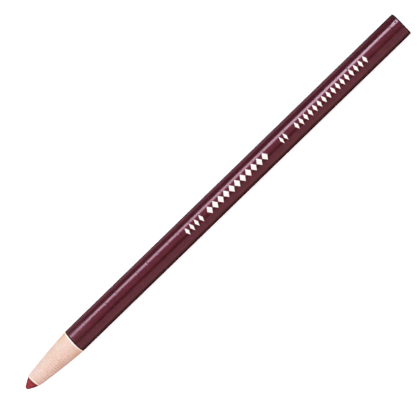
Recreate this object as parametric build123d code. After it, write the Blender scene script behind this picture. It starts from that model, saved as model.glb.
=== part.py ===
from build123d import *
import math
import os

# A peel-off china marker: a stick of coloured wax in a rolled paper wrap. The wrap is slit all round
# at a steady pitch and comes away band by band when the string that lies along the wax is drawn back.
# The marker lies along X on the plane Z = 0, with its point towards -X and its middle at X = 0.

# Whole marker, in millimetres
overall_length = 171.5
barrel_diameter = 8.74

# Wax core and its sharpened point
core_diameter = 4.6
nose_radius = 0.9
point_half_angle = 27.0

# Paper wrap: the sharpened flank runs from a thin front edge out to the paint edge
wrap_clearance = 0.06
front_edge_wall = 0.1
sharpened_length = 19.1
sharpened_bulge = 0.18

# Slits that part the wrap into bands, counted from the first one behind the paint edge
slit_pitch = 4.7625
slit_width = 0.04
paint_edge_to_slit = 2.0

# Pull string in its groove along the core, at an angle about the axis from +Y towards +Z
string_diameter = 0.5
string_clearance = 0.04
string_angle = 215.0

# Lacquer seal over the butt
seal_thickness = 0.45
seal_rim_radius = 0.38

# Radii that follow
barrel_radius = barrel_diameter / 2
core_radius = core_diameter / 2
bore_radius = core_radius + wrap_clearance
front_edge_radius = bore_radius + front_edge_wall
string_radius = string_diameter / 2
groove_radius = string_radius + string_clearance
string_offset = core_radius - string_radius

# Stations along the axis, from the point to the butt
slope = math.radians(point_half_angle)
nose_rise = nose_radius * math.cos(slope)
nose_run = nose_radius * (1 - math.sin(slope))
point_length = nose_run + (core_radius - nose_rise) / math.tan(slope)
tip_x = -overall_length / 2
paper_x = tip_x + point_length
paint_x = paper_x + sharpened_length
butt_x = tip_x + overall_length
core_end_x = butt_x - seal_thickness
wrap_end_x = core_end_x - slit_width
string_end_x = core_end_x - string_clearance


def on_axis(solid):
    """Lifts a solid made about the X axis to the height of the marker's own axis."""
    return Pos(0, 0, barrel_radius) * solid


def core_stick():
    """The core before its groove: a rounded nose, the cone of the point and the straight stick."""
    nose_end = (tip_x + nose_run, nose_rise)
    nose = CenterArc((tip_x + nose_radius, 0), nose_radius, 180, point_half_angle - 90)
    rest = Polyline(nose_end, (paper_x, core_radius), (core_end_x, core_radius), (core_end_x, 0), (tip_x, 0))
    return revolve(make_face(nose + rest), Axis.X)


def string_turn():
    """Turns what is made straight up from the axis to the side where the string lies."""
    return Rot(string_angle - 90, 0, 0)


def wax_core():
    """The core, with the groove that the string lies in open to the outside."""
    bed = Pos(0, 0, string_offset) * Rot(0, 90, 0) * Cylinder(groove_radius, overall_length)
    mouth_height = groove_radius + wrap_clearance
    mouth = Pos(0, 0, string_offset + mouth_height / 2) * Box(overall_length, 2 * groove_radius, mouth_height)
    return on_axis(core_stick() - string_turn() * (bed + mouth))


def pull_string():
    """The string: its front end is sharpened flush with the wax, and its other end stops at the seal."""
    string_span = string_end_x - tip_x
    middle_x = (string_end_x + tip_x) / 2
    thread = Pos(middle_x, 0, string_offset) * Rot(0, 90, 0) * Cylinder(string_radius, string_span)
    return on_axis(core_stick() & string_turn() * thread)


def wrap_section():
    """Half the lengthwise section of the whole wrap: its bulged flank, its straight barrel and its bore."""
    front = (paper_x, front_edge_radius)
    shoulder = (paint_x, barrel_radius)
    flank = SagittaArc(front, shoulder, sharpened_bulge)
    rest = Polyline(
        shoulder, (wrap_end_x, barrel_radius), (wrap_end_x, bore_radius), (paper_x, bore_radius), front
    )
    return make_face(flank + rest)


def slit_stations():
    """The middle of each slit. A stub under half a pitch at either end stays with the band beside it."""
    first_behind_paint = paint_x + paint_edge_to_slit
    stub = slit_pitch / 2
    ahead = math.ceil((paper_x + stub - first_behind_paint) / slit_pitch)
    behind = math.floor((wrap_end_x - stub - first_behind_paint) / slit_pitch)
    return [first_behind_paint + step * slit_pitch for step in range(ahead, behind + 1)]


def peel_bands():
    """The wrap parted at its slits into rings, from the front edge to the butt."""
    section = wrap_section()
    slits = slit_stations()
    starts = [paper_x] + [x + slit_width / 2 for x in slits]
    ends = [x - slit_width / 2 for x in slits] + [wrap_end_x]
    bands = []
    for start, end in zip(starts, ends):
        window = Pos((start + end) / 2, barrel_radius / 2) * Rectangle(end - start, barrel_radius)
        bands.append(on_axis(revolve(section & window, Axis.X)))
    return bands


def butt_seal():
    """The skin of lacquer on the butt, rounded at its outer rim."""
    disc = Pos(butt_x - seal_thickness / 2, 0, 0) * Rot(0, 90, 0) * Cylinder(barrel_radius, seal_thickness)
    rim = disc.edges().group_by(Axis.X)[-1]
    return on_axis(fillet(rim, min(seal_rim_radius, 0.9 * seal_thickness)))


def all_pieces():
    """Every piece by its node name."""
    pieces = {"wax_core": wax_core(), "pull_string": pull_string(), "butt_seal": butt_seal()}
    for number, band in enumerate(peel_bands(), start=1):
        pieces[f"peel_band_{number:02d}"] = band
    return pieces


os.makedirs("parts", exist_ok=True)
for node, piece in all_pieces().items():
    export_step(piece, f"parts/{node}.step")
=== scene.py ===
import math
from functools import partial, reduce
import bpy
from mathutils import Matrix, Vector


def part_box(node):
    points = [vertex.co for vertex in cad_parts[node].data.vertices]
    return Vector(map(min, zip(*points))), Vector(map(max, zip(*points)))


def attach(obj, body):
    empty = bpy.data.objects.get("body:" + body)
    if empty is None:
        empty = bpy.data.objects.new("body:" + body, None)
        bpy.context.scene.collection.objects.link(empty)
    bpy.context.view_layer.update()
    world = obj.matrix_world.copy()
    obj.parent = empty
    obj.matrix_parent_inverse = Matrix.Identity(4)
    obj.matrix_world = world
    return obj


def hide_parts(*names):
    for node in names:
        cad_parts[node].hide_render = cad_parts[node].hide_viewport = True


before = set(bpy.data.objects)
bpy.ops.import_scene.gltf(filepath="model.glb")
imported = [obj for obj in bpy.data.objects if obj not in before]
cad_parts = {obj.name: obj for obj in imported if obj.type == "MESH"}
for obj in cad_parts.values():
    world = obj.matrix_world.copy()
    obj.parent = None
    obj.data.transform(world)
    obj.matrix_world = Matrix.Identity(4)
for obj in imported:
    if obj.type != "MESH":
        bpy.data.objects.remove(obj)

from types import SimpleNamespace
from typing import NamedTuple

import bpy
from bpy.props import FloatProperty, FloatVectorProperty, IntProperty, PointerProperty
from mathutils import Color, Matrix, Vector, noise

bl_info = {
    "name": "Peel-off china marker",
    "version": (1, 0, 0),
    "blender": (4, 5, 0),
    "location": "View3D > Sidebar > Marker",
    "description": "Models and dresses a paper-wrapped wax marker around its packed solids",
    "category": "Add Mesh",
}

MM = 0.001
MERGE_DISTANCE = 1e-7
FULL_TURN = 2 * math.pi

# The wrap's bands, counted from 0: bare ones, then one that holds the paint edge, then the barrel's
BARE_BANDS = 3
FIRST_BARREL_BAND = BARE_BANDS + 1

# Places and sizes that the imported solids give
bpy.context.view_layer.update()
core_low, core_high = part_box("wax_core")
seal_low, seal_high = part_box("butt_seal")
string_low, string_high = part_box("pull_string")
band_nodes = sorted(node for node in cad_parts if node.startswith("peel_band_"))
band_spans = [(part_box(node)[0].x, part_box(node)[1].x) for node in band_nodes]

axis_height = (core_low.z + core_high.z) / 2
core_radius = (core_high.z - core_low.z) / 2
barrel_radius = (seal_high.z - seal_low.z) / 2
tip_x = core_low.x
paper_x = band_spans[0][0]
core_end_x = core_high.x
butt_x = seal_high.x
slit_pitch = band_spans[FIRST_BARREL_BAND + 1][0] - band_spans[FIRST_BARREL_BAND][0]
slit_x = (band_spans[FIRST_BARREL_BAND][1] + band_spans[FIRST_BARREL_BAND + 1][0]) / 2
string_radius = (string_high.y - string_low.y) / 2
string_centre = (string_low + string_high) / 2
string_side = Vector((0, string_centre.y, string_centre.z - axis_height))
string_offset = string_side.length
string_side.normalize()


def size(label, description, default):
    """A length that a user may change, in metres."""
    return FloatProperty(
        name=label, description=description, default=default, min=0.0, unit="LENGTH", precision=6
    )


def angle(label, description, degrees):
    """An angle that a user may change."""
    return FloatProperty(name=label, description=description, default=math.radians(degrees), unit="ROTATION")


def share(label, description, default):
    """A plain number that a user may change."""
    return FloatProperty(name=label, description=description, default=default, min=0.0)


def colour(label, description, default):
    """A linear colour that a user may change."""
    return FloatVectorProperty(
        name=label, description=description, default=default, size=3, subtype="COLOR", min=0, max=1
    )


class MarkerSizes(bpy.types.PropertyGroup):
    """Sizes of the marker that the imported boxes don't give, and the sizes of its fine detail."""

    wrap_clearance: size("Wrap clearance", "Gap between the wax and the paper", 0.06 * MM)
    front_edge_wall: size("Front edge wall", "Paper left at the wax after sharpening", 0.10 * MM)
    front_feather: size("Front feather", "Length over which that paper thins out", 0.2 * MM)
    feather_wall: size("Feather wall", "Paper left at the very front", 0.02 * MM)
    sharpened_length: size("Sharpened length", "From the front of the paper to the paint edge", 19.1 * MM)
    sharpened_bulge: size("Sharpened bulge", "Rise of the sharpened flank over its chord", 0.18 * MM)
    front_skew: share("Front skew", "Lean of the paper's front edge, over its width", 0.075)
    skew_length: size("Skew length", "How far back that lean dies out", 2.0 * MM)
    paint_skew: share("Paint skew", "Lean of the paint edge on the lit side, over its width", 0.04)
    edge_waver: size("Edge waver", "How far the paint edge strays from a true circle", 0.05 * MM)
    nose_radius: size("Nose radius", "Round at the very point of the wax", 0.9 * MM)
    point_half_angle: angle("Point half angle", "Between the wax cone and the axis", 27.0)
    point_bulge: size("Point bulge", "Rise of the wax cone over its chord", 0.09 * MM)
    point_lean: size("Point lean", "How far the point is off the axis", 0.14 * MM)
    point_dent: size("Point dent", "Depth of the dents in the point", 0.03 * MM)
    string_clearance: size("String clearance", "Gap between the string and its groove", 0.04 * MM)
    strand_lay: size("Strand lay", "Length of one twist of the pull string", 1.7 * MM)
    slit_closing: size("Slit closing", "How far a band swells into the slit ahead of it", 0.034 * MM)
    slit_round: size("Slit round", "Rounding of the paper at each slit", 0.015 * MM)
    ply_groove: size("Ply groove", "Depth of the line where a turn of paper ends on the flank", 0.006 * MM)
    ply_groove_width: size("Ply groove width", "Half the width of such a line", 0.06 * MM)
    ply_crowding: share("Ply crowding", "How much such lines crowd at both ends of the flank", 0.15)
    ply_thickness: size("Ply thickness", "One turn of the rolled paper", 0.105 * MM)
    ground_width: size("Ground width", "White ground coat bared ahead of the paint edge", 0.46 * MM)
    coat_depth: size("Coat depth", "How far lacquer has run into each slit", 0.5 * MM)
    coat_step: size("Coat step", "Thickness of the lacquer at the paint edge", 0.03 * MM)
    seal_rim: size("Seal rim", "Rounding of the butt, along the axis", 0.42 * MM)
    seal_shoulder: size("Seal shoulder", "Rounding of the butt, towards the axis", 0.58 * MM)
    seal_dish: size("Seal dish", "How far the lacquer sinks at the middle of the butt", 0.04 * MM)
    butt_wear: size("Butt wear", "How far the butt is worn off on the lit side", 0.22 * MM)
    mark_height: size("Mark height", "Printed lozenges, across the barrel", 2.9 * MM)
    ply_rings: IntProperty(name="Ply rings", description="Lines across the flank", default=24, min=1)
    turn_steps: IntProperty(name="Turn steps", description="Sides of a turned piece", default=144, min=24)


class MarkerColours(bpy.types.PropertyGroup):
    """Linear colours of the marker's finishes."""

    lacquer: colour("Lacquer", "Maroon coat of the barrel", (0.056, 0.0105, 0.0150))
    lacquer_light: colour("Lacquer, thin", "Maroon coat where it is thin", (0.070, 0.0130, 0.0185))
    # Painted shade: the darker maroon laid on the barrel's shaded flank, not a thicker coat
    lacquer_painted_shade: colour("Lacquer, thick", "Maroon coat where it is thick", (0.030, 0.0070, 0.0085))
    # Painted shade: the near-black line laid just behind the paint edge and round the butt's rim
    edge_line: colour("Edge line", "Lacquer at the very paint edge", (0.006, 0.0025, 0.003))
    gloss_tint: colour("Gloss tint", "What the lacquer mirrors head on", (1.0, 0.64, 0.82))
    bare_paper: colour("Bare paper", "Sharpened paper", (0.76, 0.62, 0.562))
    pale_paper: colour("Pale paper", "Inner turns of paper, next to the wax", (0.93, 0.77, 0.68))
    warm_paper: colour("Warm paper", "Sharpened paper where it is browner", (0.745, 0.556, 0.47))
    brown_paper: colour("Brown paper", "Sharpened paper beside the paint edge", (0.745, 0.535, 0.40))
    flushed_paper: colour("Flushed paper", "Sharpened paper that the wax has smeared", (0.77, 0.57, 0.56))
    # Painted shade: the darker paper laid on the shaded side and underside of the sharpened paper
    soiled_paper: colour("Soiled paper", "Sharpened paper on its shaded side", (0.42, 0.30, 0.27))
    ply_line: colour("Ply line", "Edge of a turn of paper", (0.46, 0.31, 0.25))
    ground: colour("Ground", "White coat under the lacquer", (0.95, 0.92, 0.88))
    wax: colour("Wax", "Crimson core", (0.315, 0.030, 0.041))
    # Darker wax, laid in random clouds and towards the paper's front edge
    wax_dark: colour("Wax, dark", "Crimson core where it is dirty", (0.13, 0.014, 0.020))
    # Painted shade: the near-black wax laid on both flanks of the point and at its nose
    wax_painted_shade: colour("Wax, soiled", "Crimson core at its edges", (0.075, 0.010, 0.015))
    cotton: colour("Cotton", "Pull string", (0.56, 0.46, 0.33))
    cotton_shade: colour("Cotton, soiled", "Pull string where it is darker", (0.40, 0.31, 0.20))
    ink: colour("Ink", "Printed lozenges", (0.92, 0.91, 0.91))
    floor: colour("Floor", "Surface that the marker lies on", (0.93, 0.93, 0.93))


class MarkerStage(bpy.types.PropertyGroup):
    """The camera and the lights."""

    camera_tilt: angle("Camera tilt", "Lean of the camera from straight above towards the butt", 5.78)
    camera_roll: angle("Camera roll", "Slant of the marker in the picture", 44.142)
    camera_distance: size("Camera distance", "From the camera to the point that it looks at", 0.873)
    camera_lens: FloatProperty(
        name="Lens", description="Focal length in millimetres", default=229.75, unit="CAMERA"
    )
    camera_target: FloatVectorProperty(
        name="Camera target", description="Point that the camera looks at", size=3,
        default=(-1.07 * MM, -0.10 * MM, axis_height), unit="LENGTH",
    )
    sky_tint: colour("Sky tint", "Colour of the even light all round", (1.0, 0.91, 0.84))
    sky: share("Sky", "Brightness of the even light all round", 0.72)
    key: share("Key", "Brightness of the broad lamp that shades the marker", 2.55)
    fill: share("Fill", "Brightness of the warm lamp on the shaded side", 0.75)
    strip: share("Strip", "Brightness of the long lamp that draws the streak of gloss", 10.0)
    strip_end: share("Strip end", "Brightness of that lamp's end by the butt", 6.7)
    card: share("Card", "Brightness of the reflector on the shaded side", 1.3)
    top_card: share("Top card", "Brightness of the reflector overhead", 1.3)
    low_card: share("Low card", "Brightness of what the lit side mirrors from below", 0.8)
    edge_card: share("Edge card", "Brightness of what the shaded side mirrors from below", 0.32)
    far_strip: share("Far strips", "Brightness of the lamps beyond both ends, for other sides", 5.0)


def paint_edge(sizes):
    """Where the paint edge lies along the axis."""
    return paper_x + sizes.sharpened_length


def bore_radius(sizes):
    """Radius of the hole through the paper."""
    return core_radius + sizes.wrap_clearance


def flank_radius(x, sizes):
    """Radius of the sharpened paper at a station: an arc that rises over its chord."""
    front = Vector((paper_x, bore_radius(sizes) + sizes.front_edge_wall))
    shoulder = Vector((paint_edge(sizes), barrel_radius))
    chord = shoulder - front
    rise = sizes.sharpened_bulge
    arc_radius = ((chord.length / 2) ** 2 + rise ** 2) / (2 * rise)
    inward = Vector((chord.y, -chord.x)).normalized()
    centre = (front + shoulder) / 2 + inward * (arc_radius - rise)
    return centre.y + math.sqrt(arc_radius ** 2 - (x - centre.x) ** 2)


def ply_stations(sizes):
    """Where each turn of paper ends on the flank, found by drawing near to its place in rounds."""
    rounds = 20
    stations = []
    for line in range(1, sizes.ply_rings):
        even = line / sizes.ply_rings
        place = even
        for _ in range(rounds):
            place = even - sizes.ply_crowding * math.sin(FULL_TURN * place) / FULL_TURN
        stations.append(paper_x + place * sizes.sharpened_length)
    return stations


def front_setback(y, sizes):
    """How far back the front edge of the paper lies at a place across the marker."""
    return sizes.front_skew * (core_radius - y)


def from_axis(place):
    """Distance of a point from the marker's axis."""
    return math.hypot(place.y, place.z - axis_height)


def choose(*pieces):
    """Selects these pieces alone and makes the first one active."""
    bpy.ops.object.select_all(action="DESELECT")
    for piece in pieces:
        piece.select_set(True)
    bpy.context.view_layer.objects.active = pieces[0]


def name_piece(piece, name):
    """Names a piece and its mesh alike."""
    piece.name = name
    piece.data.name = name


def settle():
    """Puts the place of the selected objects into their meshes."""
    bpy.ops.object.transform_apply(location=True, rotation=True, scale=True)


def turn_outline(name, outline, steps):
    """Extrudes one vertex along an outline of (x, radius) points and spins it about the marker's axis."""
    bpy.ops.object.select_all(action="DESELECT")
    bpy.ops.mesh.primitive_plane_add(size=MM)
    piece = bpy.context.active_object
    name_piece(piece, name)
    bpy.ops.object.mode_set(mode="EDIT")
    bpy.ops.mesh.select_all(action="SELECT")
    bpy.ops.mesh.merge(type="CENTER")
    bpy.ops.transform.translate(value=(outline[0][0], 0, axis_height + outline[0][1]))
    for (x, radius), (next_x, next_radius) in zip(outline, outline[1:]):
        move = (next_x - x, 0, next_radius - radius)
        bpy.ops.mesh.extrude_vertices_move(TRANSFORM_OT_translate={"value": move})
    bpy.ops.mesh.select_all(action="SELECT")
    bpy.ops.mesh.spin(
        steps=steps, angle=FULL_TURN, use_auto_merge=False, center=(0, 0, axis_height), axis=(1, 0, 0)
    )
    close_skin()
    return piece


def close_skin():
    """Merges doubles, turns all faces outwards and leaves edit mode."""
    bpy.ops.mesh.select_all(action="SELECT")
    bpy.ops.mesh.remove_doubles(threshold=MERGE_DISTANCE)
    bpy.ops.mesh.normals_make_consistent(inside=False)
    bpy.ops.object.mode_set(mode="OBJECT")


def smooth(piece, degrees):
    """Shades a piece smooth, but for edges sharper than the given angle."""
    choose(piece)
    bpy.ops.object.shade_smooth_by_angle(angle=math.radians(degrees))


def round_corner(corner, start, end, steps):
    """Points of a quarter round from (x, radius) start to end, drawn towards a corner."""
    points = []
    for step in range(steps + 1):
        turn = step / steps * math.pi / 2
        left, gained = 1 - math.sin(turn), 1 - math.cos(turn)
        points.append(tuple(
            corner[n] + (start[n] - corner[n]) * left + (end[n] - corner[n]) * gained for n in (0, 1)
        ))
    return points


def hand_over(piece, node, body):
    """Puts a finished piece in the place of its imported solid."""
    if not piece.data.polygons:
        raise RuntimeError(f"{piece.name} came out with no faces")
    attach(piece, body)
    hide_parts(node)


class Signal:
    """An output of a node. Sums and other work on it add nodes to its tree and give their outputs."""

    def __init__(self, socket):
        self.socket = socket
        self.tree = socket.id_data

    def feed(self, kind, inputs, output=0, **options):
        """One output of a new node in the same tree."""
        return Signal(add_node(self.tree, kind, inputs, **options)[output])

    def reckon(self, operation, *others):
        """The output of a Math node on this signal and others."""
        return self.feed("ShaderNodeMath", dict(enumerate((self, *others))), operation=operation)

    def __add__(self, other):
        return self.reckon("ADD", other)

    def __sub__(self, other):
        return self.reckon("SUBTRACT", other)

    def __rsub__(self, other):
        return self.feed("ShaderNodeMath", {0: other, 1: self}, operation="SUBTRACT")

    def __mul__(self, other):
        return self.reckon("MULTIPLY", other)

    def __truediv__(self, other):
        return self.reckon("DIVIDE", other)

    def __abs__(self):
        return self.reckon("ABSOLUTE")

    def most(self, *others):
        """The largest of this signal and others."""
        return reduce(lambda largest, other: largest.reckon("MAXIMUM", other), others, self)

    def ease(self, low, high, first=0.0, last=1.0):
        """Goes smoothly from first to last as this signal goes from low to high."""
        inputs = {"Value": self, "From Min": low, "From Max": high, "To Min": first, "To Max": last}
        return self.feed("ShaderNodeMapRange", inputs, interpolation_type="SMOOTHSTEP")

    def spread(self, first, last):
        """Goes smoothly from first to last as this signal goes from 0 to 1."""
        return self.ease(0.0, 1.0, first, last)

    def mix(self, first, second):
        """A colour between two others, which this signal shares out."""
        return self.feed("ShaderNodeMix", {0: self, 6: first, 7: second}, output=2, data_type="RGBA")

    def bump(self, distance, below=None):
        """A normal pushed about by this height, over another one if it is given."""
        inputs = {"Height": self, "Distance": distance, "Strength": 1.0}
        if below is not None:
            inputs["Normal"] = below
        return self.feed("ShaderNodeBump", inputs)

    def cloud(self, scale, detail=2.0, roughness=0.5):
        """Soft noise from 0 to 1 at this place."""
        inputs = {"Vector": self, "Scale": scale, "Detail": detail, "Roughness": roughness}
        return self.feed("ShaderNodeTexNoise", inputs, output="Fac")

    def stretch(self, *scale):
        """This place, scaled apart along X, Y and Z."""
        return self.feed("ShaderNodeMapping", {"Vector": self, "Scale": scale})

    def effect(self, name, **inputs):
        """The outputs of a shared effect at this place, whose group is built when it is first asked for."""
        group = bpy.data.node_groups.get(name) or build_effect(name)
        sockets = {key.replace("_", " ").capitalize(): value for key, value in inputs.items()}
        return signals(add_node(self.tree, "ShaderNodeGroup", {"Place": self, **sockets}, node_tree=group))


def fill(socket, value):
    """Links a signal to a socket, or sets the socket to a number or to a colour of full opacity."""
    if isinstance(value, Signal):
        value.tree.links.new(value.socket, socket)
    elif isinstance(value, Color):
        socket.default_value = (*value, 1.0)
    else:
        socket.default_value = value


def add_node(tree, kind, inputs, **options):
    """Adds a node, sets its options, fills its inputs by name or number and gives its outputs."""
    node = tree.nodes.new(kind)
    for option, choice in options.items():
        setattr(node, option, choice)
    for key, value in inputs.items():
        fill(node.inputs[key], value)
    return node.outputs


def signals(outputs):
    """The signals of a node's outputs, each under its own name in small letters."""
    return SimpleNamespace(**{output.name.lower().replace(" ", "_"): Signal(output) for output in outputs})


def uneven(tint, tone, grain, broad):
    """A colour made lighter and darker by a mottle, by a share of its value for the grain and the clouds."""
    level = tone.grain.reckon("MULTIPLY_ADD", grain, 1 - (grain + broad) / 2)
    level = tone.broad.reckon("MULTIPLY_ADD", broad, level)
    return tint.feed("ShaderNodeHueSaturation", {"Color": tint, "Value": level})


def place_about_axis(given):
    """A place along the axis and across it, its distance from the axis, its angle from the top and its side.

    The side is the sine of that angle: 1 on the lit side, 0 above and below the axis, -1 on the shaded side.
    """
    parts = signals(add_node(given.place.tree, "ShaderNodeSeparateXYZ", {"Vector": given.place}))
    rise = parts.z - axis_height
    flat = rise.feed("ShaderNodeCombineXYZ", {"X": parts.y, "Y": rise})
    reach = flat.feed("ShaderNodeVectorMath", {0: flat}, output="Value", operation="LENGTH")
    return {
        "Along": parts.x,
        "Across": parts.y,
        "Radius": reach,
        "Angle": parts.y.reckon("ARCTAN2", rise),
        "Side": parts.y / reach,
    }


def broken_lines(given):
    """Thin lines at whole numbers of a count, which waver and break up."""
    drift = given.place.cloud(scale=420.0, detail=1.0) - 0.5
    count = given.count + drift * given.waver
    line = count.reckon("PINGPONG", 0.5).ease(0.0, given.width, 1.0, 0.0)
    patch = given.place.cloud(scale=1300.0, detail=3.0, roughness=0.65).ease(0.40, 0.62)
    return {"Line": line * (1.0 - patch * given.broken)}


def mottle(given):
    """Uneven tone: broad clouds and fine grain, both from 0 to 1 about a half."""
    broad = given.place.cloud(scale=given.broad_scale, detail=3.0, roughness=0.55)
    grain = given.place.cloud(scale=given.grain_scale, detail=4.0, roughness=0.7)
    return {"Broad": broad.ease(0.30, 0.70), "Grain": grain.ease(0.28, 0.72)}


def flowed_coat(given):
    """Lacquer that has flowed out: a slow ripple, brush-fine streaks along the barrel and hair scratches."""
    ripple = given.place.stretch(0.35, 1.0, 1.0).cloud(scale=620.0, detail=1.5)
    streak = given.place.stretch(0.04, 1.0, 1.0).cloud(scale=2600.0)
    hair = given.place.stretch(0.03, 1.0, 1.0).cloud(scale=7000.0, detail=1.0)
    return {"Ripple": ripple, "Streak": streak.ease(0.30, 0.70), "Scratch": hair.ease(0.66, 0.74)}


# Shared effects: what builds each one, its inputs besides the place, and its outputs
EFFECTS = {
    "Place about the axis": (place_about_axis, (), ("Along", "Across", "Radius", "Angle", "Side")),
    "Broken lines": (broken_lines, ("Count", "Width", "Waver", "Broken"), ("Line",)),
    "Mottle": (mottle, ("Broad scale", "Grain scale"), ("Broad", "Grain")),
    "Flowed coat": (flowed_coat, (), ("Ripple", "Streak", "Scratch")),
}


def build_effect(name):
    """Builds a shared effect as a shader node group."""
    build, inputs, outputs = EFFECTS[name]
    group = bpy.data.node_groups.new(name, "ShaderNodeTree")
    group.interface.new_socket("Place", in_out="INPUT", socket_type="NodeSocketVector")
    for label in inputs:
        group.interface.new_socket(label, in_out="INPUT", socket_type="NodeSocketFloat")
    for label in outputs:
        group.interface.new_socket(label, in_out="OUTPUT", socket_type="NodeSocketFloat")
    given = signals(add_node(group, "NodeGroupInput", {}))
    result = group.nodes.new("NodeGroupOutput").inputs
    for label, value in build(given).items():
        fill(result[label], value)
    return group


class PrintedRow(NamedTuple):
    """A row of printed lozenges: its ends along the axis, how many, and their width over their pitch."""

    start: float
    end: float
    count: int
    width: float


PRINTED_ROWS = (
    PrintedRow(-11.8 * MM, -3.5 * MM, 4, 0.62),
    PrintedRow(-1.9 * MM, 25.5 * MM, 11, 0.86),
    PrintedRow(31.0 * MM, 34.4 * MM, 2, 0.62),
    PrintedRow(37.6 * MM, 70.2 * MM, 16, 0.62),
)


def lozenges(place, axis, height):
    """Where a lozenge is printed along the top of the barrel, with slightly uneven edges."""
    edge = (0.97, 1.03)
    unevenness = 0.16
    up = abs(axis.angle * barrel_radius) / (height / 2)
    rough = (place.cloud(scale=5200.0) - 0.5) * unevenness
    rows = []
    for row in PRINTED_ROWS:
        length = row.end - row.start
        steps = (axis.along - row.start) / (length / row.count)
        off_centre = abs(steps.reckon("FRACT") - 0.5)
        reach = off_centre / (row.width / 2) + up + rough
        within = axis.along.reckon("COMPARE", (row.start + row.end) / 2, length / 2)
        rows.append(reach.ease(*edge, 1.0, 0.0) * within)
    return rows[0].most(*rows[1:])


def slit_marks(place, axis):
    """Where the lacquer is ridged at a slit, in the streak of gloss, and where it is notched just behind."""
    width = 0.06
    notch_offset = 0.085
    streak_start = (math.radians(13), math.radians(20))
    streak_end = (math.radians(31), math.radians(22))
    notch_start = (0.26, 0.37)
    notch_end = (0.60, 0.50)
    turns = (axis.along - slit_x) / slit_pitch
    number = turns.reckon("ROUND")
    luck = number.feed("ShaderNodeTexWhiteNoise", {"W": number}, noise_dimensions="1D")
    pressed = luck.spread(0.2, 1.0)
    ridge = place.effect("Broken lines", count=turns, width=width, waver=0.0, broken=0.5).line
    ridge = ridge * (axis.angle.ease(*streak_start) * axis.angle.ease(*streak_end)) * pressed
    notch = place.effect("Broken lines", count=turns - notch_offset, width=width, waver=0.0, broken=0.4).line
    notch = notch * axis.side.ease(*notch_start, 0.0, 0.85) * axis.side.ease(*notch_end) * pressed
    return ridge, notch


def butt_dab(axis):
    """The height of a flat dab of lacquer near the butt, on the lit side, and the pit in its middle."""
    dab_angle = math.radians(24)
    half_width = 0.55 * MM
    pit_x = butt_x - 1.35 * MM
    taper = (pit_x - 1.9 * MM, pit_x - 0.1 * MM)
    pit_rim = (0.36 * MM, 0.17 * MM)
    off = (axis.angle - dab_angle) * barrel_radius
    level = (off * off / (2 * barrel_radius)).reckon("MINIMUM", half_width ** 2 / (2 * barrel_radius))
    along = axis.along - pit_x
    reach = (along * along + off * off).reckon("SQRT")
    return level * axis.along.ease(*taper), reach.ease(*pit_rim)


def lacquer(place, axis, colours, sizes, printed):
    """Glossy maroon lacquer: painted shade on its shaded flank and painted dark lines at the paint edge and
    the butt's rim, marked at the slits, printed on the barrel.
    """
    skin = (barrel_radius - 0.8 * MM, barrel_radius - 0.6 * MM)
    slit_mouth = (barrel_radius - 0.002 * MM, barrel_radius - 0.010 * MM)
    shaded_flank = (-0.87, -0.98)
    edge_line = (0.36 * MM, 0.56 * MM)
    edge_strength = 0.85
    painted_rim_shade = (butt_x - 0.5 * MM, butt_x - 0.2 * MM)
    rim_shade_side = (0.50, 0.62)
    rim_shade_width = 0.5 * MM
    dull_length = (1.5 * MM, 12.0 * MM)
    dulling = 0.13
    ridge_dulling = 0.26
    print_dulling = 0.18
    coat = place.effect("Flowed coat")
    tone = place.effect("Mottle", broad_scale=520.0, grain_scale=1500.0)
    tint = uneven(coat.streak.mix(colours.lacquer, colours.lacquer_light), tone, grain=0.36, broad=0.28)
    outside = axis.radius.ease(*skin)
    # Painted shade: darker maroon on the shaded flank, kept off the butt's end face
    shaded = axis.side.ease(*shaded_flank) * outside
    tint = shaded.mix(tint, colours.lacquer_painted_shade)
    # Painted shade: a dark line just behind the paint edge and round the butt's rim, reaching further along
    # the rim on the lit side; both lines are also made matt
    from_edge = axis.along - paint_edge(sizes) - axis.across.most(0.0) * sizes.paint_skew
    rim_shade_reach = axis.side.ease(*rim_shade_side, 0.0, rim_shade_width)
    rim = (axis.along + rim_shade_reach).ease(*painted_rim_shade) * outside
    edge = from_edge.ease(*edge_line, 1.0, 0.0).most(rim)
    tint = (edge * edge_strength).mix(tint, colours.edge_line)
    ridge, notch = slit_marks(place, axis)
    dab, pit = butt_dab(axis)
    dull = from_edge.ease(*dull_length, dulling, 0.0)
    gloss = coat.scratch.spread(0.15, 0.26) + dull + ridge * ridge_dulling
    matt = edge.most(notch, pit)
    if printed:
        matt = matt.most(axis.radius.ease(*slit_mouth))
        marks = lozenges(place, axis, sizes.mark_height)
        tint = marks.mix(tint, colours.ink)
        gloss = gloss + marks * print_dulling
    return {
        "Base Color": tint,
        "Roughness": gloss.most(matt),
        "Coat Weight": ridge,
        "Coat Roughness": 0.40,
        "Coat IOR": 1.82,
        "Specular Tint": colours.gloss_tint,
        "Normal": dab.bump(1.0, below=coat.ripple.bump(0.005 * MM)),
    }


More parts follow.
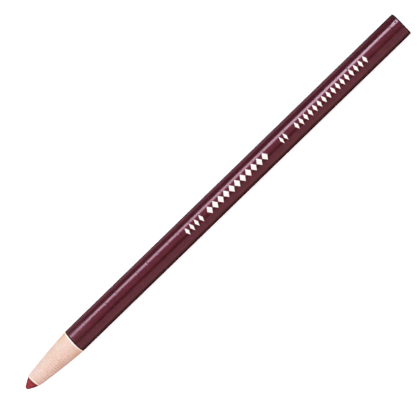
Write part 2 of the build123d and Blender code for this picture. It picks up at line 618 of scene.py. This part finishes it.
def sharpened_paper(place, axis, colours, sizes):
    """Sharpened paper: its plies end in broken rings and its fibres stand up; it is browner towards the
    paint edge and pinker by the wax, with painted shade on its shaded side and underside.
    """
    lower_side = (0.57, -0.57)
    faint_lines = (0.88, 0.62)
    brown_flanks = (math.radians(25), math.radians(60))
    brown_stretch = (0.70, 0.88)
    flushed_side = (0.17, 0.77)
    flushed_stretch = (0.35, 0.15)
    pale_edge = (0.42 * MM, 0.62 * MM)
    shade_start = (math.radians(-56), math.radians(-76))
    shade_end = (math.radians(-178), math.radians(-105))
    tone = place.effect("Mottle", broad_scale=260.0, grain_scale=1700.0)
    tint = tone.broad.mix(colours.bare_paper, colours.warm_paper)
    from_wax = axis.along - paper_x
    along = from_wax / sizes.sharpened_length
    crowd = (along * FULL_TURN).reckon("SINE") * (sizes.ply_crowding / FULL_TURN)
    count = (along + crowd) * float(sizes.ply_rings)
    line = place.effect("Broken lines", count=count, width=0.22, waver=0.5, broken=1.0).line
    # The ply lines are real marks; drawing them fainter on the lit side and stronger on the shaded side is
    # painted light and shade
    strength = axis.side.ease(*lower_side, 0.4, 0.9) * along.ease(*faint_lines, 0.45, 1.0)
    tint = (line * strength).mix(tint, colours.ply_line)
    browned = abs(axis.angle).ease(*brown_flanks) * along.ease(*brown_stretch)
    tint = browned.mix(tint, colours.brown_paper)
    flushed = axis.side.ease(*flushed_side) * along.ease(*flushed_stretch)
    tint = flushed.mix(tint, colours.flushed_paper)
    from_front = from_wax - (core_radius - axis.across) * sizes.front_skew
    tint = from_front.ease(*pale_edge, 1.0, 0.0).mix(tint, colours.pale_paper)
    # Painted shade: darker paper on the shaded side and underside
    soiled = axis.angle.ease(*shade_start, 0.0, 0.55) * axis.angle.ease(*shade_end)
    tint = soiled.mix(tint, colours.soiled_paper)
    return {
        "Base Color": uneven(tint, tone, grain=-0.16, broad=0.0),
        "Roughness": tone.grain.spread(0.72, 0.90),
        "Specular IOR Level": 0.25,
        "Normal": tone.grain.bump(0.010 * MM, below=(1.0 - line).bump(0.012 * MM)),
    }


def cut_plies(place, axis, colours, sizes):
    """The cut end of a band: the rolled paper's turns seen edge on, and the bore."""
    line_strength = 0.7
    tone = place.effect("Mottle", broad_scale=380.0, grain_scale=4200.0)
    count = axis.radius / sizes.ply_thickness + axis.angle / FULL_TURN
    line = place.effect("Broken lines", count=count, width=0.24, waver=0.5, broken=0.5).line
    tint = tone.broad.mix(colours.bare_paper, colours.warm_paper)
    return {
        "Base Color": (line * line_strength).mix(tint, colours.ply_line),
        "Roughness": tone.grain.spread(0.75, 0.92),
        "Specular IOR Level": 0.25,
        "Normal": tone.grain.bump(0.012 * MM, below=(1.0 - line).bump(0.02 * MM)),
    }


def white_ground(place, axis, colours, sizes):
    """The white coat under the lacquer, bared in a thin line by the sharpener."""
    paper_share = 0.25
    tone = place.effect("Mottle", broad_scale=500.0, grain_scale=5000.0)
    return {
        "Base Color": (tone.broad * paper_share).mix(colours.ground, colours.bare_paper),
        "Roughness": tone.grain.spread(0.55, 0.75),
        "Normal": tone.grain.bump(0.004 * MM),
    }


def crimson_wax(place, axis, colours, sizes):
    """Crimson wax: mottled, darker towards the paper, with painted shade on its flanks and nose, with turned
    rings and crumbs.
    """
    dark_clouds = (0.45, 1.0)
    by_paper = (paper_x - 0.75 * MM, paper_x + 0.05 * MM)
    shaded_sides = (0.62, 0.96)
    by_tip = (tip_x + 0.7 * MM, tip_x + 0.2 * MM)
    tone = place.effect("Mottle", broad_scale=900.0, grain_scale=2300.0)
    tint = tone.broad.ease(*dark_clouds, 0.0, 0.60).mix(colours.wax, colours.wax_dark)
    # Darker towards the paper's front edge, where the wax runs under it
    tint = axis.along.ease(*by_paper, 0.0, 0.55).mix(tint, colours.wax_dark)
    # Painted shade: near-black wax on both flanks of the point and at its nose
    sides = abs(axis.side).ease(*shaded_sides, 0.0, 0.66)
    nose = axis.along.ease(*by_tip, 0.0, 0.75)
    tint = sides.most(nose).mix(tint, colours.wax_painted_shade)
    turned = place.stretch(1.0, 0.06, 0.06).cloud(scale=6500.0)
    return {
        "Base Color": uneven(tint, tone, grain=0.60, broad=-0.60),
        "Roughness": tone.grain.spread(0.34, 0.52),
        "Specular IOR Level": 0.25,
        "Subsurface Weight": 0.12,
        "Subsurface Radius": (1.0, 0.25, 0.2),
        "Subsurface Scale": 0.4 * MM,
        "Normal": tone.grain.bump(0.014 * MM, below=turned.bump(0.012 * MM)),
    }


def cotton_string(place, axis, colours, sizes):
    """Unbleached cotton, with fibres along the strands."""
    tone = place.effect("Mottle", broad_scale=1200.0, grain_scale=9000.0)
    fibres = place.stretch(0.25, 1.0, 1.0).cloud(scale=22000.0)
    return {
        "Base Color": tone.broad.mix(colours.cotton, colours.cotton_shade),
        "Roughness": tone.grain.spread(0.80, 0.95),
        "Sheen Weight": 0.3,
        "Specular IOR Level": 0.2,
        "Normal": fibres.bump(0.012 * MM),
    }


def pale_floor(place, axis, colours, sizes):
    """Plain pale floor, with a cool glow of its own against the warm sky."""
    tone = place.effect("Mottle", broad_scale=3.0, grain_scale=400.0)
    return {
        "Base Color": colours.floor,
        "Roughness": tone.grain.spread(0.75, 0.85),
        "Specular IOR Level": 0.0,
        "Emission Color": (0.85, 1.0, 1.1, 1.0),
        "Emission Strength": 0.4,
    }


# The function behind each finish, which gives what goes into its shader's sockets
FINISHES = {
    "Maroon lacquer": partial(lacquer, printed=True),
    "Seal lacquer": partial(lacquer, printed=False),
    "White ground": white_ground,
    "Sharpened paper": sharpened_paper,
    "Cut paper plies": cut_plies,
    "Crimson wax": crimson_wax,
    "Cotton string": cotton_string,
    "Pale floor": pale_floor,
}


def finish_of(name):
    """A finish by its name, made the first time that it is asked for."""
    made = bpy.data.materials.get(name)
    if made is None:
        scene = bpy.context.scene
        made = bpy.data.materials.new(name)
        made.use_nodes = True
        shader = made.node_tree.nodes["Principled BSDF"]
        place = signals(add_node(made.node_tree, "ShaderNodeTexCoord", {})).object
        axis = place.effect("Place about the axis")
        sockets = FINISHES[name](place, axis, scene.marker_colours, scene.marker_sizes)
        for label, value in sockets.items():
            fill(shader.inputs[label], value)
    return made


def dress(piece, *names):
    """Gives a piece its finishes, in the order of its material slots."""
    for name in names:
        piece.data.materials.append(finish_of(name))


BAND_FINISHES = ("Maroon lacquer", "White ground", "Sharpened paper", "Cut paper plies")
LACQUER, GROUND, BARE, PLIES = range(len(BAND_FINISHES))


def dress_band(band, sizes):
    """Gives each face of a band the finish that it has by its place."""
    cut_facing = 0.9
    paint_x = paint_edge(sizes)
    coat_limit = barrel_radius - sizes.coat_depth
    bore_limit = bore_radius(sizes) + sizes.front_edge_wall / 2
    dress(band, *BAND_FINISHES)
    for face in band.data.polygons:
        x, radius = face.center.x, from_axis(face.center)
        coated = x > paint_x and radius > coat_limit
        if not coated and (abs(face.normal.x) > cut_facing or radius < bore_limit):
            face.material_index = PLIES
        elif x > paint_x - sizes.coat_step / 2:
            face.material_index = LACQUER
        elif x > paint_x - sizes.ground_width:
            face.material_index = GROUND
        else:
            face.material_index = BARE


def band_name(index):
    """The name of a band's piece. Its number counts from 1, its index from 0."""
    return f"paper_band_{index + 1:02d}"


def hand_over_band(band, index):
    """Puts a finished band, by its index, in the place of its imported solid."""
    slot = "bare_paper" if index < BARE_BANDS else "lacquered_paper"
    hand_over(band, band_nodes[index], f"band_{index + 1:02d}")


class MARKER_OT_wax_core(bpy.types.Operator):
    """Turns the wax stick with its point, and cuts the groove that the string lies in"""

    bl_idname = "marker.add_wax_core"
    bl_label = "Wax core"

    def execute(self, context):
        sizes = context.scene.marker_sizes
        stick = turn_outline("crimson_wax_stick", self.outline(sizes), sizes.turn_steps)
        self.wear_point(stick, sizes)
        self.cut_groove(stick, sizes)
        smooth(stick, degrees=35)
        dress(stick, "Crimson wax")
        hand_over(stick, "wax_core", "core")
        return {"FINISHED"}

    def outline(self, sizes):
        """Half the section: the nose, the bulged cone, whose bulge ends under the paper, and the stick."""
        nose_steps = 12
        cone_steps = 16
        bulge_span = 0.85 * math.pi
        bulge_end = paper_x + 0.6 * MM
        chamfer = 0.05 * MM
        nose = sizes.nose_radius
        points = []
        for step in range(nose_steps + 1):
            turn = (math.pi / 2 - sizes.point_half_angle) * step / nose_steps
            points.append((tip_x + nose * (1 - math.cos(turn)), nose * math.sin(turn)))
        nose_x, nose_rise = points[-1]
        for step in range(1, cone_steps + 1):
            along = step / cone_steps
            bulge = sizes.point_bulge * math.sin(bulge_span * along)
            radius = nose_rise + (core_radius - nose_rise) * along + bulge
            points.append((nose_x + (paper_x - nose_x) * along, radius))
        points += [(bulge_end, core_radius), (core_end_x - chamfer, core_radius)]
        return points + [(core_end_x, core_radius - chamfer), (core_end_x, 0)]

    def wear_point(self, stick, sizes):
        """Leans the point, sets its foot askew as the paper is, and dents it a little."""
        foot_x = paper_x + 0.01 * MM
        dent_end = paper_x - 0.05 * MM
        dent_length = 1.1 * MM
        least_reach = 0.05 * MM
        lean_rate = 2.5
        increment, lacunarity, octaves = 1.0, 2.0, 3
        for vertex in stick.data.vertices:
            place = vertex.co
            if place.x < foot_x:
                to_tip = (paper_x - place.x) / (paper_x - tip_x)
                place.x += front_setback(place.y, sizes) * (1 - to_tip)
                place.y -= sizes.point_lean * min(lean_rate * to_tip, 1)
            reach = from_axis(place)
            if place.x < dent_end and reach > least_reach:
                dent = noise.fractal(place / dent_length, increment, lacunarity, octaves)
                scale = 1 - sizes.point_dent * abs(dent) / reach
                place.y *= scale
                place.z = axis_height + (place.z - axis_height) * scale

    def cut_groove(self, stick, sizes):
        """Subtracts a slot with a round floor along the whole stick."""
        floor_sides = 24
        floor_share = 0.05
        mouth_share = 3
        overrun = MM
        radius = string_radius + sizes.string_clearance
        bpy.ops.object.select_all(action="DESELECT")
        bpy.ops.mesh.primitive_circle_add(vertices=floor_sides, radius=radius, fill_type="NGON")
        cutter = bpy.context.active_object
        for vertex in cutter.data.vertices:
            if vertex.co.y > radius * floor_share:
                vertex.co.y = radius * mouth_share
                vertex.co.x = math.copysign(radius, vertex.co.x) if vertex.co.x else 0
        bpy.ops.object.mode_set(mode="EDIT")
        bpy.ops.mesh.select_all(action="SELECT")
        length = core_end_x - tip_x + 2 * overrun
        bpy.ops.mesh.extrude_region_move(TRANSFORM_OT_translate={"value": (0, 0, length)})
        close_skin()
        along = Vector((1, 0, 0))
        turn = Matrix((string_side.cross(along), string_side, along)).transposed().to_4x4()
        foot = Vector((tip_x - overrun, 0, axis_height)) + string_side * string_offset
        cutter.matrix_world = Matrix.Translation(foot) @ turn
        choose(cutter)
        settle()
        groove = stick.modifiers.new("Groove", "BOOLEAN")
        groove.object = cutter
        groove.operation = "DIFFERENCE"
        groove.solver = "EXACT"
        choose(stick)
        bpy.ops.object.modifier_apply(modifier=groove.name)
        bpy.data.objects.remove(cutter)


class MARKER_OT_pull_string(bpy.types.Operator):
    """Twists three cotton strands and trims them flush with the sharpened wax"""

    bl_idname = "marker.add_pull_string"
    bl_label = "Pull string"

    strand_count = 3
    strand_sides = 10
    steps_per_lay = 12

    def execute(self, context):
        sizes = context.scene.marker_sizes
        strands = [self.lay_strand(sizes)]
        while len(strands) < self.strand_count:
            strands.append(self.copy_round(strands[-1]))
        for strand in strands:
            self.trim(strand, sizes)
        choose(*strands)
        bpy.ops.object.join()
        thread = bpy.context.active_object
        name_piece(thread, "cotton_pull_string")
        smooth(thread, degrees=60)
        dress(thread, "Cotton string")
        hand_over(thread, "pull_string", "string")
        return {"FINISHED"}

    def lay_strand(self, sizes):
        """One strand, too long at both ends: a small circle wound up a screw about the string's middle."""
        spare_lays = 2
        radius = string_radius / (1 + 1 / math.sin(math.pi / self.strand_count))
        bpy.ops.object.select_all(action="DESELECT")
        bpy.ops.mesh.primitive_circle_add(
            vertices=self.strand_sides, radius=radius, location=(string_radius - radius, 0, 0)
        )
        strand = bpy.context.active_object
        settle()
        lay = strand.modifiers.new("Lay", "SCREW")
        lay.screw_offset = sizes.strand_lay
        lay.iterations = math.ceil((string_high.x - string_low.x) / sizes.strand_lay) + spare_lays
        lay.steps = self.steps_per_lay
        lay.render_steps = self.steps_per_lay
        lay.use_merge_vertices = False
        bpy.ops.object.modifier_apply(modifier=lay.name)
        foot = Vector((string_low.x - sizes.strand_lay, 0, axis_height)) + string_side * string_offset
        strand.matrix_world = Matrix.Translation(foot) @ Matrix.Rotation(math.pi / 2, 4, "Y")
        settle()
        return strand

    def copy_round(self, strand):
        """A copy of a strand, turned about the string's middle to lie beside it."""
        middle = Vector((0, 0, axis_height)) + string_side * string_offset
        choose(strand)
        bpy.ops.object.duplicate(linked=False)
        copy = bpy.context.active_object
        turn = FULL_TURN / self.strand_count
        bpy.ops.transform.rotate(value=turn, orient_axis="X", center_override=middle)
        settle()
        return copy

    def trim(self, strand, sizes):
        """Cuts the front along the cone of the point and the back square, and closes both ends."""
        slope = sizes.point_half_angle
        front_x = paper_x - (core_radius - string_offset) / math.tan(slope)
        front = Vector((front_x, 0, axis_height)) + string_side * string_offset
        outward = Vector((-math.sin(slope), 0, 0)) + string_side * math.cos(slope)
        back = Vector((string_high.x, 0, axis_height))
        choose(strand)
        bpy.ops.object.mode_set(mode="EDIT")
        for cut, facing in ((front, outward), (back, Vector((1, 0, 0)))):
            bpy.ops.mesh.select_all(action="SELECT")
            bpy.ops.mesh.bisect(
                plane_co=cut, plane_no=facing, use_fill=True, clear_outer=True, threshold=MERGE_DISTANCE
            )
        close_skin()


# The lacquer's edge in steps of its thickness: how far behind the paint edge and how far below the barrel
COAT_EDGE = ((0, 1), (0.3, 0.35), (1, 0.08), (3, 0), (6, 0))

# How the paint edge strays as it goes round: share of the whole, waves to a turn and where they start
EDGE_WAVES = ((0.5, 2, 0.9), (0.3, 5, 0.0), (0.2, 11, 2.0))


def barrel_end(end, sizes):
    """Points of the rounded edge where the barrel runs into the slit at the end of a band."""
    edge = sizes.slit_round
    rounded = round_corner(
        (end, barrel_radius), (end - edge, barrel_radius), (end, barrel_radius - edge), steps=4
    )
    return [(end - 3 * edge, barrel_radius)] + rounded + [(end, barrel_radius - sizes.coat_depth)]


class MARKER_OT_sharpened_bands(bpy.types.Operator):
    """Turns the bare bands of the sharpened end and the band that holds the paint edge"""

    bl_idname = "marker.add_sharpened_bands"
    bl_label = "Sharpened bands"

    def execute(self, context):
        sizes = context.scene.marker_sizes
        for index in range(FIRST_BARREL_BAND):
            start, end = band_spans[index]
            if index > 0:
                start -= sizes.slit_closing
            band = turn_outline(band_name(index), self.outline(start, end, sizes), sizes.turn_steps)
            dress_band(band, sizes)
            self.set_front_askew(band, sizes)
            self.waver_paint_edge(band, sizes)
            smooth(band, degrees=40)
            hand_over_band(band, index)
        return {"FINISHED"}

    def outline(self, start, end, sizes):
        """Half the section of one band: bore, front face, flank with ply lines, any paint edge, end face."""

        def on_flank(x, depth=0.0):
            return (x, flank_radius(x, sizes) - depth)

        bore = bore_radius(sizes)
        paint_x = paint_edge(sizes)
        ground_x = paint_x - sizes.ground_width
        edge = sizes.slit_round / 2
        points = [(start, bore)]
        if start > paper_x:
            points += [on_flank(start, edge), on_flank(start + edge)]
        else:
            points += [(start, bore + sizes.feather_wall), on_flank(start + sizes.front_feather)]
        width = sizes.ply_groove_width
        first_line = start + 2 * width + edge
        last_line = min(min(end, paint_x) - 2 * width - edge, ground_x - 2 * width)
        for x in ply_stations(sizes):
            if first_line < x < last_line:
                points += [on_flank(x - width), on_flank(x, sizes.ply_groove), on_flank(x + width / 2)]
        if end > paint_x:
            step = sizes.coat_step
            points.append(on_flank(ground_x))
            for behind, below in COAT_EDGE:
                points.append((paint_x + behind * step, barrel_radius - below * step))
            points += barrel_end(end, sizes)
        else:
            points += [on_flank(end - edge), on_flank(end, edge)]
        return points + [(end, bore), (start, bore)]

    def set_front_askew(self, band, sizes):
        """Lets the front edge of the paper lean, as the sharpener did, less and less towards the back."""
        for vertex in band.data.vertices:
            fade = 1 - (vertex.co.x - paper_x) / sizes.skew_length
            if fade > 0:
                vertex.co.x += max(front_setback(vertex.co.y, sizes), 0) * fade

    def waver_paint_edge(self, band, sizes):
        """Lets the circles at the paint edge lean and stray a little."""
        margin = 1.2
        low = paint_edge(sizes) - margin * sizes.ground_width
        high = paint_edge(sizes) + margin * sizes.coat_step
        for vertex in band.data.vertices:
            place = vertex.co
            if low < place.x < high and from_axis(place) > margin * core_radius:
                about = math.atan2(place.y, place.z - axis_height)
                stray = sum(part * math.sin(waves * about + start) for part, waves, start in EDGE_WAVES)
                place.x += stray * sizes.edge_waver + sizes.paint_skew * max(place.y, 0)


class MARKER_OT_barrel_bands(bpy.types.Operator):
    """Turns one lacquered band and copies it along the barrel, then turns the last band at the butt"""

    bl_idname = "marker.add_barrel_bands"
    bl_label = "Barrel bands"

    def execute(self, context):
        sizes = context.scene.marker_sizes
        last = len(band_nodes) - 1
        first = self.turn(FIRST_BARREL_BAND, sizes)
        copies = [self.copy_along(first, index) for index in range(FIRST_BARREL_BAND + 1, last)]
        bands = [first, *copies, self.turn(last, sizes)]
        for index, band in enumerate(bands, start=FIRST_BARREL_BAND):
            hand_over_band(band, index)
        return {"FINISHED"}

    def turn(self, index, sizes):
        """One band of the barrel, rounded where it meets a slit."""
        start, end = band_spans[index]
        start -= sizes.slit_closing
        bore = bore_radius(sizes)
        back = barrel_end(end, sizes)
        front = [(start + end - x, radius) for x, radius in reversed(back)]
        outline = [(start, bore), *front, *back, (end, bore), (start, bore)]
        band = turn_outline(band_name(index), outline, sizes.turn_steps)
        dress_band(band, sizes)
        smooth(band, degrees=40)
        return band

    def copy_along(self, first, index):
        """A copy of the barrel's first band, moved to the place of another."""
        choose(first)
        bpy.ops.object.duplicate(linked=False)
        copy = bpy.context.active_object
        name_piece(copy, band_name(index))
        bpy.ops.transform.translate(value=(band_spans[index][0] - band_spans[FIRST_BARREL_BAND][0], 0, 0))
        settle()
        return copy


class MARKER_OT_butt_seal(bpy.types.Operator):
    """Turns the skin of lacquer on the butt, rounded at its rim and sunk a little at its middle"""

    bl_idname = "marker.add_butt_seal"
    bl_label = "Butt seal"

    def execute(self, context):
        sizes = context.scene.marker_sizes
        start = seal_low.x - sizes.slit_closing
        seal = turn_outline("butt_lacquer_skin", self.outline(start, sizes), sizes.turn_steps)
        self.wear_rim(seal, start, sizes)
        smooth(seal, degrees=40)
        dress(seal, "Seal lacquer")
        hand_over(seal, "butt_seal", "core")
        return {"FINISHED"}

    def outline(self, start, sizes):
        """Half the section: the dished end face, the rounded rim and the flat inner face."""
        rings = 10
        shoulder = barrel_radius - sizes.seal_shoulder
        points = []
        for ring in range(rings):
            out = ring / rings
            points.append((butt_x - sizes.seal_dish * (1 - out ** 2) ** 2, out * shoulder))
        points += round_corner(
            (butt_x, barrel_radius), (butt_x, shoulder), (butt_x - sizes.seal_rim, barrel_radius), steps=8
        )
        return points + [(start, barrel_radius), (start, 0)]

    def wear_rim(self, seal, start, sizes):
        """Wears the end face down towards the rim on the lit side."""
        sound_share = 0.6
        for vertex in seal.data.vertices:
            out = (vertex.co.y / barrel_radius - sound_share) / (1 - sound_share)
            if out > 0:
                vertex.co.x -= sizes.butt_wear * out ** 2 * (vertex.co.x - start) / (butt_x - start)


class Lamp(NamedTuple):
    """An area lamp that faces the axis, and either shades the marker or is only mirrored in its gloss.

    Its power names its brightness among the stage's values. Its lean from straight above towards the lit
    side and its slew are in degrees. Its span, its place along the marker and its distance are in metres.
    """

    name: str
    power: str
    lean: float
    span: tuple
    tint: tuple
    along: float = 0.0
    slew: float = 0.0
    away: float = 0.6
    mirrored: bool = True


LAMPS = (
    Lamp("key", "key", 32, (0.9, 0.9), (0.85, 0.95, 1.0), away=1.0, mirrored=False),
    Lamp("fill", "fill", -50, (0.9, 0.9), (1.0, 0.12, 0.05), away=1.0, mirrored=False),
    Lamp("strip", "strip", 48, (0.56, 0.21), (1.0, 0.96, 1.0), along=-0.17, slew=-14.8),
    Lamp("strip_end", "strip_end", 48, (0.1, 0.21), (0.69, 1.0, 0.98), along=0.06, slew=-14.8, away=0.62),
    Lamp("card", "card", -66, (0.58, 0.80), (1.0, 0.58, 0.62), along=-0.12),
    Lamp("top_card", "top_card", 16, (0.52, 0.53), (1.0, 0.32, 0.44), along=-0.15),
    Lamp("low_card", "low_card", 121, (0.46, 0.50), (1.0, 0.47, 0.64), along=-0.16),
    Lamp("edge_card", "edge_card", -109.5, (0.9, 0.15), (1.0, 1.0, 0.55), along=-0.05),
)

FAR_STRIPS = tuple(
    Lamp(f"far_strip_{side}_{end}", "far_strip", 27 * side, (0.9, 0.16), (1.0, 0.96, 1.0), along=0.85 * end)
    for side in (-1, 1)
    for end in (-1, 1)
)


class MARKER_OT_stage(bpy.types.Operator):
    """Lays the floor, hangs the lights and places the camera"""

    bl_idname = "marker.set_stage"
    bl_label = "Stage"

    floor_radius = 6.0
    floor_drop = 0.01 * MM
    wall_radius = 5.0
    wall_height = 4.0
    round_sides = 96
    sensor_width = 36.0
    sight = (0.01, 20.0)

    def execute(self, context):
        scene = context.scene
        self.lay_floor()
        self.raise_wall()
        self.light_sky(scene)
        for lamp in LAMPS + FAR_STRIPS:
            self.hang(lamp, getattr(scene.marker_stage, lamp.power))
        self.place_camera(scene)
        scene.view_settings.view_transform = "Standard"
        return {"FINISHED"}

    def lay_floor(self):
        """A broad round floor just under the marker, which throws no light back on it."""
        bpy.ops.object.select_all(action="DESELECT")
        bpy.ops.mesh.primitive_circle_add(
            vertices=self.round_sides, radius=self.floor_radius, fill_type="NGON",
            location=(0, 0, -self.floor_drop),
        )
        settle()
        self.set_up("floor", "visible_glossy", "visible_diffuse")

    def raise_wall(self):
        """A round wall far off, for low views, which throws no light and casts no shadow."""
        bpy.ops.object.select_all(action="DESELECT")
        bpy.ops.mesh.primitive_cylinder_add(
            vertices=self.round_sides, radius=self.wall_radius, depth=self.wall_height,
            end_fill_type="NOTHING",
        )
        self.set_up("backdrop", "visible_glossy", "visible_diffuse", "visible_shadow")

    def set_up(self, name, *hidden_from):
        """Names the active surface, dresses it as part of the stage and hides it from some kinds of rays."""
        surface = bpy.context.active_object
        surface.name = name
        for rays in hidden_from:
            setattr(surface, rays, False)
        dress(surface, "Pale floor")

    def light_sky(self, scene):
        """An even light all round, which the marker doesn't mirror."""
        sky = scene.world or bpy.data.worlds.new("Sky")
        scene.world = sky
        sky.use_nodes = True
        backdrop = sky.node_tree.nodes["Background"]
        fill(backdrop.inputs["Color"], scene.marker_stage.sky_tint)
        fill(backdrop.inputs["Strength"], scene.marker_stage.sky)
        sky.cycles_visibility.glossy = False

    def hang(self, lamp, radiance):
        """Hangs one lamp, out of the camera's sight and without shadows."""
        light = bpy.data.lights.new(lamp.name, "AREA")
        light.shape = "RECTANGLE"
        light.size, light.size_y = lamp.span
        light.color = lamp.tint
        light.energy = radiance * math.pi * lamp.span[0] * lamp.span[1]
        light.use_shadow = False
        holder = bpy.data.objects.new(lamp.name, light)
        bpy.context.collection.objects.link(holder)
        lean = math.radians(lamp.lean)
        place = Matrix.Translation((0, lamp.away * math.sin(lean), axis_height + lamp.away * math.cos(lean)))
        facing = Matrix.Rotation(-lean, 4, "X") @ Matrix.Rotation(math.radians(lamp.slew), 4, "Z")
        holder.matrix_world = place @ facing @ Matrix.Translation((lamp.along, 0, 0))
        holder.visible_camera = False
        holder.visible_glossy = lamp.mirrored
        holder.visible_diffuse = not lamp.mirrored

    def place_camera(self, scene):
        """Stands the camera over the marker, with the point at the lower left of the picture."""
        settings = scene.marker_stage
        tilt, roll = settings.camera_tilt, settings.camera_roll
        along = Vector((math.cos(tilt), 0, -math.sin(tilt)))
        back = Vector((math.sin(tilt), 0, math.cos(tilt)))
        across = Vector((0, 1, 0))
        right = along * math.cos(roll) - across * math.sin(roll)
        up = along * math.sin(roll) + across * math.cos(roll)
        view = bpy.data.cameras.new("camera")
        view.sensor_width = self.sensor_width
        view.lens = settings.camera_lens
        view.clip_start, view.clip_end = self.sight
        camera = bpy.data.objects.new("camera", view)
        bpy.context.collection.objects.link(camera)
        pose = Matrix((right, up, back)).transposed().to_4x4()
        pose.translation = Vector(settings.camera_target) + back * settings.camera_distance
        camera.matrix_world = pose
        scene.camera = camera


OPERATORS = (
    MARKER_OT_wax_core,
    MARKER_OT_pull_string,
    MARKER_OT_sharpened_bands,
    MARKER_OT_barrel_bands,
    MARKER_OT_butt_seal,
    MARKER_OT_stage,
)


class MARKER_PT_sidebar(bpy.types.Panel):
    """Lists the marker's operators and the values that they use"""

    bl_idname = "MARKER_PT_sidebar"
    bl_label = "China marker"
    bl_space_type = "VIEW_3D"
    bl_region_type = "UI"
    bl_category = "Marker"

    def draw(self, context):
        for operator in OPERATORS:
            self.layout.operator(operator.bl_idname)
        scene = context.scene
        for values in (scene.marker_sizes, scene.marker_colours, scene.marker_stage):
            box = self.layout.box()
            for key in values.__annotations__:
                box.prop(values, key)


CLASSES = (MarkerSizes, MarkerColours, MarkerStage, *OPERATORS, MARKER_PT_sidebar)


def register():
    for kind in CLASSES:
        bpy.utils.register_class(kind)
    bpy.types.Scene.marker_sizes = PointerProperty(type=MarkerSizes)
    bpy.types.Scene.marker_colours = PointerProperty(type=MarkerColours)
    bpy.types.Scene.marker_stage = PointerProperty(type=MarkerStage)


def unregister():
    del bpy.types.Scene.marker_stage
    del bpy.types.Scene.marker_colours
    del bpy.types.Scene.marker_sizes
    for kind in reversed(CLASSES):
        bpy.utils.unregister_class(kind)


def main():
    register()
    bpy.ops.marker.add_wax_core()
    bpy.ops.marker.add_pull_string()
    bpy.ops.marker.add_sharpened_bands()
    bpy.ops.marker.add_barrel_bands()
    bpy.ops.marker.add_butt_seal()
    bpy.ops.marker.set_stage()


if __name__ == "__main__":
    main()
